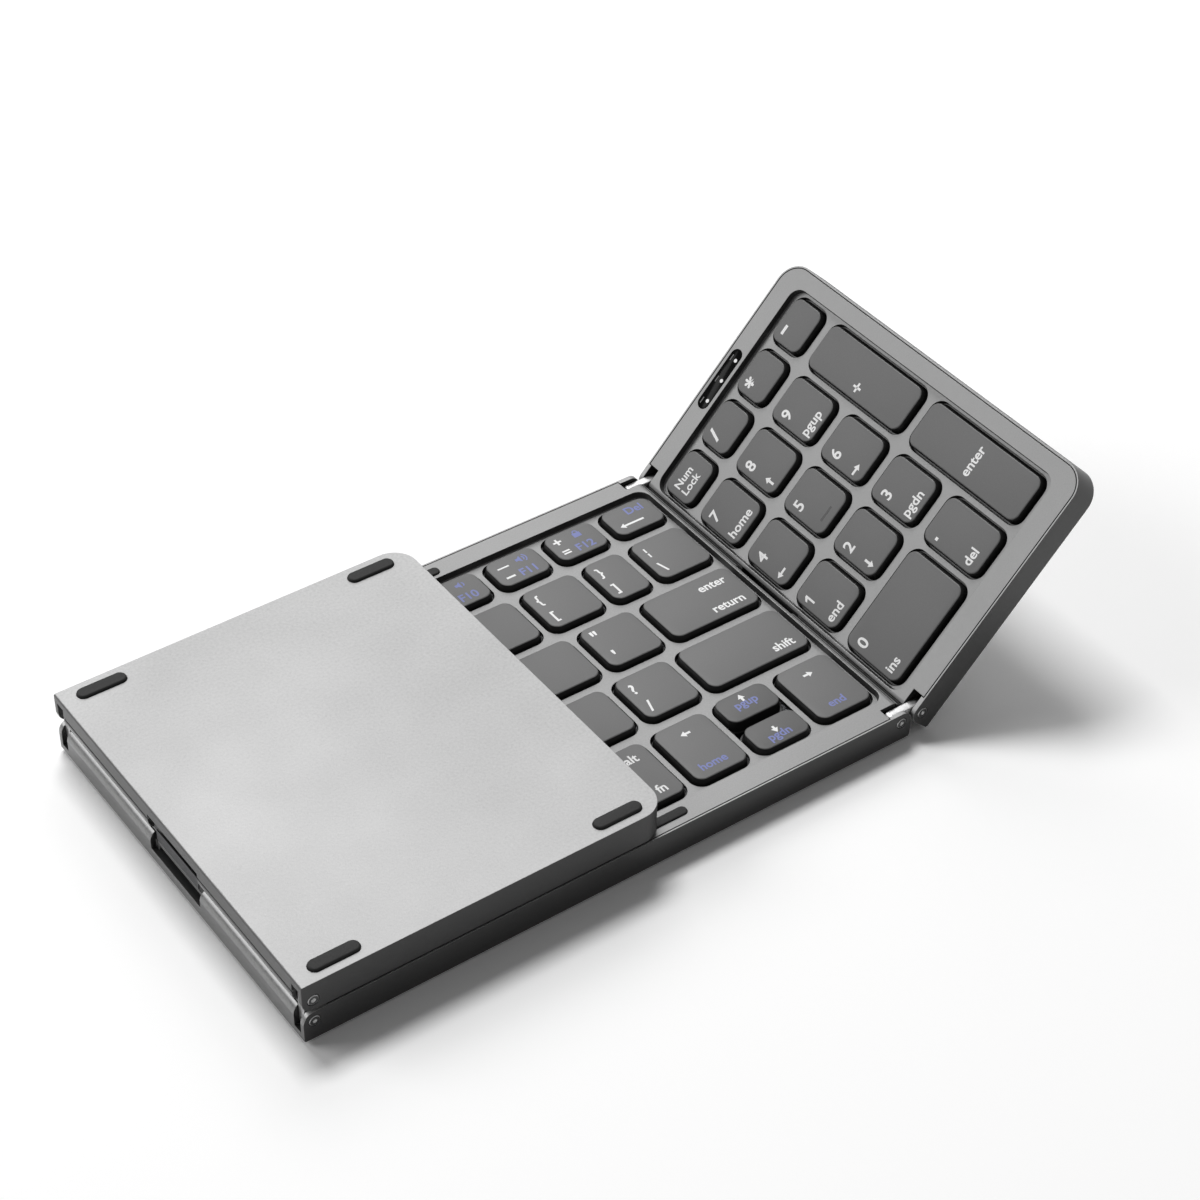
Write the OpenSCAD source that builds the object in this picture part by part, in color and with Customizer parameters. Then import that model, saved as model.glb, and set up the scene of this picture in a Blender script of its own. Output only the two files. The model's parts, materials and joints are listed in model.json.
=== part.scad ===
// Tri-fold pocket keyboard: a middle panel, a left panel folded flat on top of it and a
// right panel with the numeric pad standing at an angle. Every hinge has two pins joined
// by short bars, so a panel can lie flat or fold face to face.
// Origin: centre of the footprint at rest, z = 0 on the table. +X right, +Y away from the typist.

/* [Panels] */
// Depth of every panel, front to back
panel_depth = 119; // [118:0.5:123]
// Thickness of a panel without its feet
shell_t = 8.8; // [8.7:0.1:9.4]
// Width of the left panel
left_w = 103.3; // [101:0.1:103.5]
// Width of the right panel, which carries the numeric pad
right_w = 76.5; // [75.5:0.1:76.7]
// Distance between the two hinge pins of the middle panel
middle_span = 175; // [175:0.5:180]
// Radius of the free corners, seen from above
corner_r = 7; // [5:0.5:7.5]

/* [Hinges] */
// Angle of the right panel above flat, at rest
right_lift = 47; // [0:1:90]
// Radius of the rounded hinge edge about its pin
hinge_r = 3.1; // [3.05:0.05:3.2]
// Gap between two panels, lying flat or folded
panel_gap = 0.8; // [0.7:0.05:1]
// Half height of a hinge bar
bar_r = 1.9; // [1.7:0.05:1.95]
// Diameter of the hinge pin's shank
pin_d = 1.6; // [1.4:0.1:1.7]
// Width of the cable notch in the hinge edges
notch_w = 24; // [20:1:30]

/* [Keys] */
// Height of a letter key, front to back
key_h = 16.8; // [16:0.1:17]
// Gap between neighbouring keys in a row
col_gap = 3.6; // [3.4:0.1:3.8]
// Travel of a key
key_travel = 1.2; // [0.8:0.1:1.2]
// Corner radius of a key's top
key_r = 2.7; // [2:0.1:2.9]
// Width of a numeric pad key
pad_w = 13.45; // [13:0.05:13.6]

/* [Feet] */
// Height of a rubber foot below the shell
foot_h = 0.8; // [0.7:0.1:1.2]
// Length of a rubber foot
foot_l = 13.75; // [10:0.25:16]
// Width of a rubber foot
foot_w = 3.75; // [3.25:0.25:4]

/* [Hidden] */
$fn = 64;
lap = 1;                        // overrun of a cutting tool past the face it opens
half = panel_depth / 2;

// Heights inside a panel, from the outer face of its bottom
floor_t = 1;                    // bottom wall
deck_z = 3.2;                   // underside of the key deck
plate_t = 0.4;                  // steel plate of the deck
film_t = 0.2;                   // contact film on the plate
dome_h = 0.5;                   // rubber dome, pressed flat
seat_z = shell_t - 3;           // ledge that carries the top frame
pin_up = shell_t - hinge_r;     // height of the hinge pins
recess_depth = 1.85;            // key field below the frame's border
key_top = shell_t - 0.2;

// Walls
wall_t = 1.4;
rim_t = 0.5;                    // thin rim of the shell around the frame
groove = 0.2;                   // open line between rim and frame
lip_x = 1.3;                    // the frame reaches this far past the hinge pin
ledge_x = 0.7;
seam_z = 4.6;                   // shadow groove along the hinge edge of the end panels
seam_w = 0.5;
seam_d = 0.4;
edge_cut = 0.4;                 // bevel under the hinge edge, so that it swings clear of the table

// Frame and key field
border_y = 7.3;
border_back = 6.8;
border_free = 5.5;
lean = 0.2;                     // draft of the field's walls
field_r = 3.6;

// Hinge bars and their pockets, measured in from the panel's end
link_l = 2 * hinge_r + panel_gap;
pin_r = pin_d / 2;
bar_y0 = 1.55;
bar_y1 = 4.15;
bar_tail = 1.5;                 // the bar's round end is centred this far past the pin
tail_r = bar_tail + bar_r;
pocket_y0 = 1.4;
pocket_y1 = 4.4;
pocket_x = tail_r + 0.2;
ear_t = 1.6;                    // before the pocket is cut
block_x = 4.6;
block_y = 7;
boss_r = 1.8;
head_r = 1.5;
head_t = 0.7;
pin_end = 6.5;
run_fit = 0.05;                 // radial clearance of a bar on its pin
press_fit = 0.02;

// Cable between the panels
notch_y = 59.5 * panel_depth / 119;
notch_low = 2.3;                // notch bottom below the pin
slot_w = 21;
flex_w = 20;
flex_l = link_l - 2 * 1.7;
flex_t = 0.3;
flex_drop = 1.75;

// Keys
key_margin = 1;                 // hole around a key's top
key_flare = 0.5;                // a cap widens by this much towards its foot
cap_z = 5.6;                    // foot of the cap, just under the frame
flange_out = 1.4;
flange_t = 0.4;
cap_top_t = 1;
cap_wall = 1.2;
plunger_r = 2;
plunger_z = deck_z + plate_t + film_t + dome_h + key_travel + 0.1;
hinge_side = 1.3;               // first key edge, from the pin line
row_pitch = (panel_depth - 34.6) / 4;
row4_y = 35.2;
row5_y = 10;
row5_h = 20.6;
row1_h = 11.3;
arrow_h = 9.5;
arrow_gap = 2.6;
pad_pitch = pad_w + col_gap;

// Feet, screws, posts
foot_y = 4.2;
foot_hinge = 4.5;
foot_free = 5.5;
foot_in = 0.6;                  // depth of a foot in its recess
screw_r = 0.8;
screw_head_r = 1.4;
screw_head_t = 0.8;
screw_boss_r = 2.4;
screw_top = shell_t - 1.4;
post_r = 1.6;
stake_r = 0.6;
stake_z = deck_z + plate_t + film_t + 0.4;
fit = 0.1;

// Board, battery and charging socket of the middle panel
usb_w = 8.94;
usb_h = 3.26;
usb_l = 6.9;
usb_x = 149;
board_t = 0.8;
board = [133, 52, 163.5, panel_depth - 1.6];
battery = [92, 26, 127, 86];
battery_t = 2;

// Bumpers and indicator window
bumper = [95, 109];
bumper_w = 2.8;
bumper_in = 0.4;
bumper_up = 0.5;
window_x = [24.85, 44.35];
window_w = 3.9;
window_t = 0.8;
window_y = panel_depth - 3.7;
lamp_x = [27.65, 34.45, 41.25];
lamp_r = 0.6;

// Panels as [end, two-hinged]: the end is the free edge, or the second pin of the middle panel
MIDDLE = [middle_span, true];
LEFT = [left_w - hinge_r, false];
RIGHT = [right_w - hinge_r, false];

// Places of the pins: the footprint is centred on the origin
pin_z = foot_h + pin_up;
reach_right = middle_span + link_l + RIGHT[0] * cos(right_lift) + pin_up * sin(right_lift);
left_pin_x = (hinge_r - reach_right) / 2;
right_pin_x = left_pin_x + middle_span;

// ---- Key layout: rows run from the pin line, row 1 is the far one, row 5 the near one ----

function row_y(r) = r == 5 ? row5_y : row4_y + (4 - r) * row_pitch;
function row_h(r) = r == 5 ? row5_h : r == 1 ? row1_h : key_h;
// Widths and gaps from key i to the end of its row
function rest_of(w, i) = i >= len(w) ? 0 : w[i] + col_gap + rest_of(w, i + 1);
// The first key of a row takes the room that the others leave
function filled(w, x_end) = concat([x_end - hinge_side - rest_of(w, 0)], w);
function row_keys(r, w, names, x_end) = [
    for (i = [0 : len(w) - 1])
        let (x0 = x_end + col_gap - rest_of(w, i))
        [names[i], x0, row_y(r), x0 + w[i], row_y(r) + row_h(r)]
];

middle_end = middle_span - hinge_side;
middle_rows = [
    [1, [15.6, 15.6, 15.6, 15.6, 15.6, 15.6, 15.6, 15.6],
        ["", "", "", "", "", "", "key_minus", "key_equals", "key_backspace"]],
    [2, [16.3, 16.3, 16.3, 16.3, 16.8, 16.8, 11.9, 16.8],
        ["", "", "", "", "", "", "key_bracket_left", "key_bracket_right", "key_backslash"]],
    [3, [17, 17, 17, 17, 16.8, 16.8, 28.4], ["", "", "", "", "", "", "key_quote", "key_enter"]],
    [4, [16.2, 16.2, 16.2, 16.2, 16.8, 16.8, 32.4], ["", "", "", "", "", "", "key_slash", "key_shift"]],
    [5, [16, 16.1, 16.1, 16.8], ["", "", "key_arrow_left", "arrow_pair", "key_arrow_right"]]
];
// The up and down keys share one opening in the frame
middle_holes = [for (r = middle_rows) each row_keys(r[0], filled(r[1], middle_end), r[2], middle_end)];
pair = [for (k = middle_holes) if (k[0] == "arrow_pair") k][0];
arrow_mid = (pair[2] + pair[4]) / 2;
arrow_keys = [
    ["key_arrow_up", pair[1], arrow_mid + arrow_gap / 2, pair[3], arrow_mid + arrow_gap / 2 + arrow_h],
    ["key_arrow_down", pair[1], arrow_mid - arrow_gap / 2 - arrow_h, pair[3], arrow_mid - arrow_gap / 2]
];
middle_keys = concat([for (k = middle_holes) if (k[0] != "arrow_pair") k], arrow_keys);

left_end = LEFT[0] - border_free - 1.6;
left_rows = [
    [1, [15.5, 15.5, 15.5, 15.5]],
    [2, [15, 15, 15, 17.3]],
    [3, [14.6, 14.6, 14.6, 18.9]],
    [4, [16.2, 16.2, 32.3]],
    [5, [15, 15, 15]]
];
left_keys_list = [
    for (r = left_rows) each row_keys(r[0], filled(r[1], left_end), ["", "", "", "", ""], left_end)
];

// Numeric pad key: columns c0 to c1, rows r0 (far) to r1 (near)
function pad_key(name, c0, r0, c1, r1) = [
    name,
    hinge_side + c0 * pad_pitch,
    row_y(r1),
    hinge_side + c1 * pad_pitch + pad_w,
    row_y(r0) + row_h(r0)
];
pad_keys = [
    pad_key("pad_num_lock", 0, 1, 0, 1), pad_key("pad_divide", 1, 1, 1, 1),
    pad_key("pad_multiply", 2, 1, 2, 1), pad_key("pad_subtract", 3, 1, 3, 1),
    pad_key("pad_7", 0, 2, 0, 2), pad_key("pad_8", 1, 2, 1, 2),
    pad_key("pad_9", 2, 2, 2, 2), pad_key("pad_add", 3, 2, 3, 3),
    pad_key("pad_4", 0, 3, 0, 3), pad_key("pad_5", 1, 3, 1, 3),
    pad_key("pad_6", 2, 3, 2, 3), pad_key("pad_1", 0, 4, 0, 4),
    pad_key("pad_2", 1, 4, 1, 4), pad_key("pad_3", 2, 4, 2, 4),
    pad_key("pad_enter", 3, 4, 3, 5), pad_key("pad_0", 0, 5, 1, 5),
    pad_key("pad_decimal", 2, 5, 2, 5)
];

// Posts under the key decks: one at each of these x in every gap between two rows
middle_posts = [12, 50, 89.5, 130, 169];
left_posts = [10, 48, 86];
right_posts = [9, 42];
gap_rows = [4, 3, 2, 1];
function gap_y(r) = row_y(r) - (row_pitch - key_h) / 2;

function named(keys) = [for (k = keys) if (k[0] != "") k];
function unnamed(keys) = [for (k = keys) if (k[0] == "") k];

// ---- Places ----

module at_middle() translate([left_pin_x, -half, foot_h]) children();

module at_right()
    translate([right_pin_x + link_l, -half, pin_z]) rotate([0, -right_lift, 0])
        translate([0, 0, -pin_up]) children();

// The left panel is the other hand of the right one, turned over onto the middle panel
module at_left()
    translate([left_pin_x, -half, pin_z + link_l]) rotate([0, 180, 0]) mirror([1, 0, 0])
        translate([0, 0, -pin_up]) children();

module at_right_link() translate([right_pin_x, -half, pin_z]) children();

// The left bars stand upright at rest
module at_left_link()
    translate([left_pin_x, -half, pin_z]) rotate([0, 90, 0]) mirror([1, 0, 0]) children();

// Repeats a shape at each hinge of a panel; the shape is drawn with the pin at x = 0
module at_hinges(p) {
    children();
    if (p[1]) translate([p[0], 0, 0]) mirror([1, 0, 0]) children();
}

// Repeats a shape at both ends of a panel
module at_ends() {
    children();
    translate([0, panel_depth, 0]) mirror([0, 1, 0]) children();
}

// Places of the feet and of the screws that they hide
module at_feet(p) {
    far = p[1] ? p[0] + hinge_r - foot_hinge - foot_l / 2 : p[0] - foot_free - foot_l / 2;
    at_ends() for (x = [foot_hinge - hinge_r + foot_l / 2, far]) translate([x, foot_y, 0]) children();
}

// ---- Shared shapes ----

// Rounded rectangle of two bars and four discs, so that each corner is a true arc
module round_rect(x0, y0, x1, y1, r) {
    translate([x0 + r, y0]) square([x1 - x0 - 2 * r, y1 - y0]);
    translate([x0, y0 + r]) square([x1 - x0, y1 - y0 - 2 * r]);
    for (x = [x0 + r, x1 - r], y = [y0 + r, y1 - r]) translate([x, y]) circle(r);
}

// Bar with round ends, centred on the origin
module pill(l, w) {
    square([l - w, w], center = true);
    for (s = [-1, 1]) translate([s * (l - w) / 2, 0]) circle(w / 2);
}

// Block on a rounded rectangle that grows by foot at its bottom and by head at its top
module drafted(x0, y0, x1, y1, r, h, foot, head) {
    for (x = [x0 + r, x1 - r], y = [y0 + r, y1 - r])
        translate([x, y, 0]) cylinder(r1 = r + foot, r2 = r + head, h = h);
    translate([0, y1 - r, 0]) rotate([90, 0, 0]) linear_extrude(y1 - y0 - 2 * r)
        polygon([[x0 - foot, 0], [x1 + foot, 0], [x1 + head, h], [x0 - head, h]]);
    translate([x0 + r, 0, 0]) rotate([90, 0, 90]) linear_extrude(x1 - x0 - 2 * r)
        polygon([[y0 - foot, 0], [y1 + foot, 0], [y1 + head, h], [y0 - head, h]]);
}

// Cylinder along +Y
module rod(r, l) rotate([-90, 0, 0]) cylinder(r = r, h = l);

// Panel seen from the front: the hinge edge is rounded about its pin
module side_profile(p) {
    polygon(p[1]
        ? [[-hinge_r + edge_cut, 0], [p[0] + hinge_r - edge_cut, 0], [p[0] + hinge_r, edge_cut],
           [p[0] + hinge_r, pin_up], [-hinge_r, pin_up], [-hinge_r, edge_cut]]
        : [[-hinge_r + edge_cut, 0], [p[0], 0], [p[0], pin_up], [-hinge_r, pin_up],
           [-hinge_r, edge_cut]]);
    square([p[0], shell_t]);
    for (x = p[1] ? [0, p[0]] : [0]) translate([x, pin_up]) circle(hinge_r);
}

// Panel seen from above, drawn in by inset at its ends and its free edge, by from at its hinges
module plan(p, inset, from) {
    if (p[1]) {
        translate([-from, inset]) square([p[0] + 2 * from, panel_depth - 2 * inset]);
    } else {
        r = corner_r - inset;
        translate([-from, inset]) square([p[0] + from - corner_r, panel_depth - 2 * inset]);
        translate([0, corner_r]) square([p[0] - inset, panel_depth - 2 * corner_r]);
        for (y = [corner_r, panel_depth - corner_r]) translate([p[0] - corner_r, y]) circle(r);
    }
}

module full_side(p)
    translate([0, panel_depth, 0]) rotate([90, 0, 0]) linear_extrude(panel_depth) side_profile(p);

// ---- Shells and frames ----

// Solid corner that carries a hinge pin: an outer ear and a block with a boss behind it
module hinge_corner() {
    translate([-hinge_r, 0, 0]) cube([hinge_r + pocket_x, ear_t, shell_t]);
    translate([-hinge_r, 0, 0]) cube([hinge_r + block_x, block_y, seat_z]);
    translate([0, pocket_y1, pin_up]) rod(boss_r, block_y - pocket_y1);
}

// Pocket in which a bar's end turns, with the bores of its pin
module hinge_corner_cuts() {
    translate([-hinge_r - lap, pocket_y0, pin_up - pocket_x])
        cube([hinge_r + lap + pocket_x, pocket_y1 - pocket_y0, shell_t]);
    translate([0, -lap, pin_up]) rod(pin_r + press_fit, pin_end + fit + lap);
    translate([0, -lap, pin_up]) rod(head_r + fit, head_t + press_fit + lap);
}

// Notch in the hinge edge, and the slot by which the cable enters the panel
module notch_cuts() {
    z0 = pin_up - notch_low;
    translate([-hinge_r - lap, notch_y - notch_w / 2, z0])
        cube([hinge_r + lap - lip_x - groove, notch_w, shell_t]);
    translate([-hinge_r, notch_y - slot_w / 2, z0]) cube([hinge_r, slot_w, lip_x]);
}

// Shadow groove from the bar pockets to the cable notch
module seam_cuts()
    at_ends() translate([-hinge_r - lap, pocket_y1 - lap, seam_z])
        cube([lap + seam_d, notch_y - notch_w / 2 - pocket_y1 + 2 * lap, seam_w]);

module foot_cuts() {
    translate([0, 0, -lap]) linear_extrude(lap + foot_in) pill(foot_l + fit, foot_w + fit);
    cylinder(r = screw_r + fit, h = seat_z + lap);
    cylinder(r = screw_head_r + fit, h = foot_in + screw_head_t + fit);
}

module posts(xs) {
    for (x = xs, r = gap_rows) translate([x, gap_y(r), 0]) {
        translate([0, 0, floor_t]) cylinder(r = post_r, h = deck_z - floor_t);
        cylinder(r = stake_r, h = stake_z);
    }
}

module bottom_shell(p, xs) {
    difference() {
        union() {
            difference() {
                intersection() {
                    full_side(p);
                    linear_extrude(shell_t + lap) plan(p, 0, hinge_r + lap);
                }
                translate([0, 0, seat_z]) linear_extrude(shell_t) plan(p, rim_t, lip_x + groove);
                translate([0, 0, floor_t]) linear_extrude(shell_t) plan(p, wall_t, ledge_x);
            }
            intersection() {
                full_side(p);
                at_hinges(p) at_ends() hinge_corner();
            }
            at_feet(p) cylinder(r = screw_boss_r, h = seat_z);
            posts(xs);
        }
        at_hinges(p) at_ends() hinge_corner_cuts();
        at_hinges(p) notch_cuts();
        at_feet(p) foot_cuts();
    }
}

module field(p, depth) {
    x1 = p[1] ? p[0] : p[0] - border_free - lean;
    h = depth + lap;
    translate([0, 0, shell_t - depth])
        drafted(0, border_y + lean, x1, panel_depth - border_back - lean, field_r, h,
                0, lean * h / depth);
}

module top_frame(p, holes) {
    inset = rim_t + groove;
    difference() {
        intersection() {
            full_side(p);
            translate([0, 0, seat_z]) linear_extrude(shell_t) plan(p, inset, lip_x);
        }
        field(p, recess_depth);
        translate([0, 0, seat_z - lap]) linear_extrude(shell_t) for (k = holes)
            round_rect(k[1] - key_margin, k[2] - key_margin, k[3] + key_margin, k[4] + key_margin,
                       key_r + key_margin);
        at_hinges(p) at_ends() {
            translate([-hinge_r, 0, 0])
                cube([hinge_r + pocket_x + groove, pocket_y1 + fit, shell_t + lap]);
            translate([0, pocket_y1, pin_up]) rod(boss_r + groove, block_y + groove - pocket_y1);
        }
        at_feet(p) cylinder(r = screw_r + press_fit, h = screw_top + fit);
    }
}

// ---- Small parts of a panel ----

module feet(p)
    at_feet(p) translate([0, 0, -foot_h]) linear_extrude(foot_h + foot_in) pill(foot_l, foot_w);

module screws(p)
    at_feet(p) difference() {
        union() {
            translate([0, 0, foot_in]) cylinder(r = screw_head_r, h = screw_head_t);
            translate([0, 0, foot_in]) cylinder(r = screw_r, h = screw_top - foot_in);
        }
        translate([0, 0, foot_in - lap]) cylinder(r = screw_r, h = lap + screw_head_t / 2, $fn = 6);
    }

module hinge_pins(p)
    at_hinges(p) at_ends() translate([0, press_fit, pin_up]) difference() {
        union() {
            rod(head_r, head_t);
            rod(pin_r, pin_end);
        }
        translate([0, -lap, 0]) rod(pin_r / 2, lap + head_t / 2);
    }

// Steel plate and contact film, with a flattened rubber dome under each key
module switch_deck(p, xs, keys) {
    x1 = p[1] ? p[0] - fit : p[0] - wall_t - 0.8;
    y1 = panel_depth - block_y - 2 * fit;
    difference() {
        translate([fit, block_y + 2 * fit, deck_z])
            cube([x1 - fit, y1 - block_y - 2 * fit, plate_t + film_t]);
        for (x = xs, r = gap_rows) translate([x, gap_y(r), 0]) cylinder(r = stake_r + fit, h = shell_t);
    }
    for (k = keys) translate([(k[1] + k[3]) / 2, (k[2] + k[4]) / 2, deck_z + plate_t])
        cylinder(r1 = plunger_r, r2 = plunger_r - dome_h, h = film_t + dome_h);
}

// Key cap: flared skirt, a flange that keeps it under the frame, and a plunger
module key_cap(k) {
    x = (k[1] + k[3]) / 2;
    y = (k[2] + k[4]) / 2;
    difference() {
        union() {
            translate([0, 0, cap_z])
                drafted(k[1], k[2], k[3], k[4], key_r, key_top - cap_z, key_flare, 0);
            translate([0, 0, cap_z - flange_t]) linear_extrude(flange_t)
                round_rect(k[1] - flange_out, k[2] - key_margin, k[3] + flange_out, k[4] + key_margin,
                           key_r);
        }
        translate([k[1] + cap_wall, k[2] + cap_wall, cap_z - lap])
            cube([k[3] - k[1] - 2 * cap_wall, k[4] - k[2] - 2 * cap_wall, key_top - cap_z - cap_top_t + lap]);
    }
    translate([x, y, plunger_z])
        cylinder(r = plunger_r, h = key_top - plunger_z - cap_top_t / 2);
}

module key_group(keys) color("dimgray") for (k = keys) key_cap(k);

// ---- Hinge links, drawn along +X from the first pin at the origin ----

module hinge_links()
    color("white") at_ends() difference() {
        translate([link_l / 2, bar_y1, 0]) rotate([90, 0, 0]) linear_extrude(bar_y1 - bar_y0)
            pill(link_l + 2 * tail_r, 2 * bar_r);
        for (x = [0, link_l]) translate([x, 0, 0]) rod(pin_r + run_fit, bar_y1 + lap);
    }

module flex_strip()
    color("darkslategray") translate([(link_l - flex_l) / 2, notch_y - flex_w / 2, -flex_drop - flex_t])
        cube([flex_l, flex_w, flex_t]);

// ---- Middle panel ----

module middle_bottom_shell()
    color("dimgray") difference() {
        bottom_shell(MIDDLE, middle_posts);
        translate([usb_x, panel_depth + lap, floor_t + board_t + usb_h / 2]) rotate([90, 0, 0])
            linear_extrude(wall_t + 2 * lap) pill(usb_w + 2 * fit, usb_h + 2 * fit);
    }

module middle_top_frame()
    color("silver") difference() {
        top_frame(MIDDLE, middle_holes);
        at_ends() translate([(bumper[0] + bumper[1]) / 2, foot_y, shell_t - bumper_in])
            linear_extrude(bumper_in + lap) pill(bumper[1] - bumper[0] + fit, bumper_w + fit);
    }

module middle_feet() color("darkslategray") feet(MIDDLE);

module middle_bumpers()
    color("darkslategray") at_ends()
        translate([(bumper[0] + bumper[1]) / 2, foot_y, shell_t - bumper_in])
            linear_extrude(bumper_in + bumper_up) pill(bumper[1] - bumper[0], bumper_w);

module middle_switch_deck() color("lightsteelblue") switch_deck(MIDDLE, middle_posts, middle_keys);

module controller_board()
    color("darkgreen") {
        translate([board[0], board[1], floor_t]) cube([board[2] - board[0], board[3] - board[1], board_t]);
        // Radio chip and charging chip
        translate([board[0] + 6, board[1] + 10, floor_t]) cube([7, 7, board_t + 1]);
        translate([board[0] + 20, board[1] + 30, floor_t]) cube([4, 4, board_t + 0.9]);
    }

module battery_cell()
    color("gainsboro") translate([battery[0], battery[1], floor_t]) {
        cube([battery[2] - battery[0], battery[3] - battery[1], battery_t]);
        // Folded terminal edge of the pouch
        translate([3, battery[3] - battery[1], battery_t / 4]) cube([battery[2] - battery[0] - 6, 3, battery_t / 2]);
    }

module usb_c_port()
    color("silver") translate([usb_x, panel_depth - fit, floor_t + board_t + usb_h / 2]) rotate([90, 0, 0]) {
        difference() {
            linear_extrude(usb_l) pill(usb_w, usb_h);
            translate([0, 0, -lap]) linear_extrude(usb_l + lap - 1) pill(usb_w - 0.6, usb_h - 0.6);
        }
        translate([-6.69 / 2, -0.35, 0.8]) cube([6.69, 0.7, usb_l - 1.3]);
    }

module middle_hinge_pins() color("gray") hinge_pins(MIDDLE);

module middle_screws() color("gray") screws(MIDDLE);

module middle_far_keys() key_group(unnamed(middle_keys));

// ---- Left panel ----

module left_bottom_shell()
    color("silver") difference() {
        bottom_shell(LEFT, left_posts);
        seam_cuts();
    }

module left_top_frame() color("silver") top_frame(LEFT, left_keys_list);

module left_feet() color("darkslategray") feet(LEFT);

module left_switch_deck() color("lightsteelblue") switch_deck(LEFT, left_posts, left_keys_list);

module left_hinge_pins() color("gray") hinge_pins(LEFT);

module left_screws() color("gray") screws(LEFT);

module left_keys() key_group(left_keys_list);

// ---- Right panel ----

module right_bottom_shell()
    color("dimgray") difference() {
        bottom_shell(RIGHT, right_posts);
        seam_cuts();
    }

module right_top_frame()
    color("silver") difference() {
        top_frame(RIGHT, pad_keys);
        translate([(window_x[0] + window_x[1]) / 2, window_y, shell_t - window_t])
            linear_extrude(window_t + lap) pill(window_x[1] - window_x[0] + fit, window_w + fit);
        for (x = lamp_x) translate([x, window_y, 0]) cylinder(r = lamp_r, h = shell_t);
    }

module right_feet() color("darkslategray") feet(RIGHT);

module right_switch_deck() color("lightsteelblue") switch_deck(RIGHT, right_posts, pad_keys);

module right_hinge_pins() color("gray") hinge_pins(RIGHT);

module right_screws() color("gray") screws(RIGHT);

module indicator_window()
    color("black") translate([(window_x[0] + window_x[1]) / 2, window_y, shell_t - window_t])
        linear_extrude(window_t) pill(window_x[1] - window_x[0], window_w);

// ---- The keyboard ----

at_middle() middle_bottom_shell();
at_middle() middle_top_frame();
at_middle() middle_feet();
at_middle() middle_bumpers();
at_middle() middle_switch_deck();
at_middle() controller_board();
at_middle() battery_cell();
at_middle() usb_c_port();
at_middle() middle_hinge_pins();
at_middle() middle_screws();
at_middle() middle_far_keys();
at_left_link() hinge_links();  // left_hinge_links
at_left_link() flex_strip();  // left_flex_strip
at_right_link() hinge_links();  // right_hinge_links
at_right_link() flex_strip();  // right_flex_strip
at_left() left_bottom_shell();
at_left() left_top_frame();
at_left() left_feet();
at_left() left_switch_deck();
at_left() left_hinge_pins();
at_left() left_screws();
at_left() left_keys();
at_right() right_bottom_shell();
at_right() right_top_frame();
at_right() right_feet();
at_right() right_switch_deck();
at_right() right_hinge_pins();
at_right() right_screws();
at_right() indicator_window();
for (k = named(middle_keys)) at_middle() key_group([k]);
for (k = pad_keys) at_right() key_group([k]);
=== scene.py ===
"""Looks of a tri-fold pocket keyboard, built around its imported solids.

The shells, frames and small hardware are beveled copies of the solids. The key caps, legends,
feet, hinge bars and indicator window are surfaces worked out here, in the same places.
"""

import json
import math

import bmesh
import bpy
import numpy as np
from mathutils import Matrix, Vector

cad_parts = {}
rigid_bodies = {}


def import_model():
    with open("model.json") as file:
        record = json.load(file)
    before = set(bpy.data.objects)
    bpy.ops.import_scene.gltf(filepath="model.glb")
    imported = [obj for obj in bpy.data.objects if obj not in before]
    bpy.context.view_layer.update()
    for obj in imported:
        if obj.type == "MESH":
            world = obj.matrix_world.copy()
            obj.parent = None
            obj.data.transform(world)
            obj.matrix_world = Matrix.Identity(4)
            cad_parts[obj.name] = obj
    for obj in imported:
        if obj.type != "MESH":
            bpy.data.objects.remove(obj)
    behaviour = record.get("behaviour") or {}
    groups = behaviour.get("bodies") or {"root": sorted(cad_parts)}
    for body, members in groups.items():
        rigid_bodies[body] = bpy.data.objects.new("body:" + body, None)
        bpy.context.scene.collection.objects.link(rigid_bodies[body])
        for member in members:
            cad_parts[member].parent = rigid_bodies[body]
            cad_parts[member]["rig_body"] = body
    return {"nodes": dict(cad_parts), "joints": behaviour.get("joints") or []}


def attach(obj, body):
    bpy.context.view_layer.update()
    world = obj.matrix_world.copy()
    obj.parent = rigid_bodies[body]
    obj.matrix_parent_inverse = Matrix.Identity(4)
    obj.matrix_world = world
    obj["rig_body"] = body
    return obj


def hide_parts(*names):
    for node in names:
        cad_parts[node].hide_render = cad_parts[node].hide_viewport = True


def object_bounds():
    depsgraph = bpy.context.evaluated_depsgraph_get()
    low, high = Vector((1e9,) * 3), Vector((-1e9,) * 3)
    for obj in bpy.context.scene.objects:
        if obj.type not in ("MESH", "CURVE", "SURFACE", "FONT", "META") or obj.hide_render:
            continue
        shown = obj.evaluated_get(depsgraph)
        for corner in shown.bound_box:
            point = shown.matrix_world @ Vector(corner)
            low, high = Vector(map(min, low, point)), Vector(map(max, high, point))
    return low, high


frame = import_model()
cad_low, cad_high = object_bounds()
MM = 0.001

# ---------------------------------------------------------------- sizes

JOINTS = {j["name"]: j for j in frame["joints"]}
SIDES = ("middle", "left", "right")

SHELL_T = 8.8  # thickness of a panel, mm
PIN_UP = 5.7  # height of a hinge pin inside a panel, mm
KEY_TOP = 8.6  # height of the key tops inside a panel, mm
HINGE_X = -1.4  # faces past this line, from the pin, belong to a hinge edge, mm
PILL_SLACK = 0.001  # by which the end radius of a pill stays under half its width, mm
# The right panel's tilt, which is as much as its hinge still turns down
LIFT = math.radians(-JOINTS["right_panel_hinge"]["range_deg"][0])
DEPTH = cad_high[1] - cad_low[1]


def joint_place(name):
    """Where a joint's axis is, in metres."""
    return np.array(JOINTS[name]["pos_m"])


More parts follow.
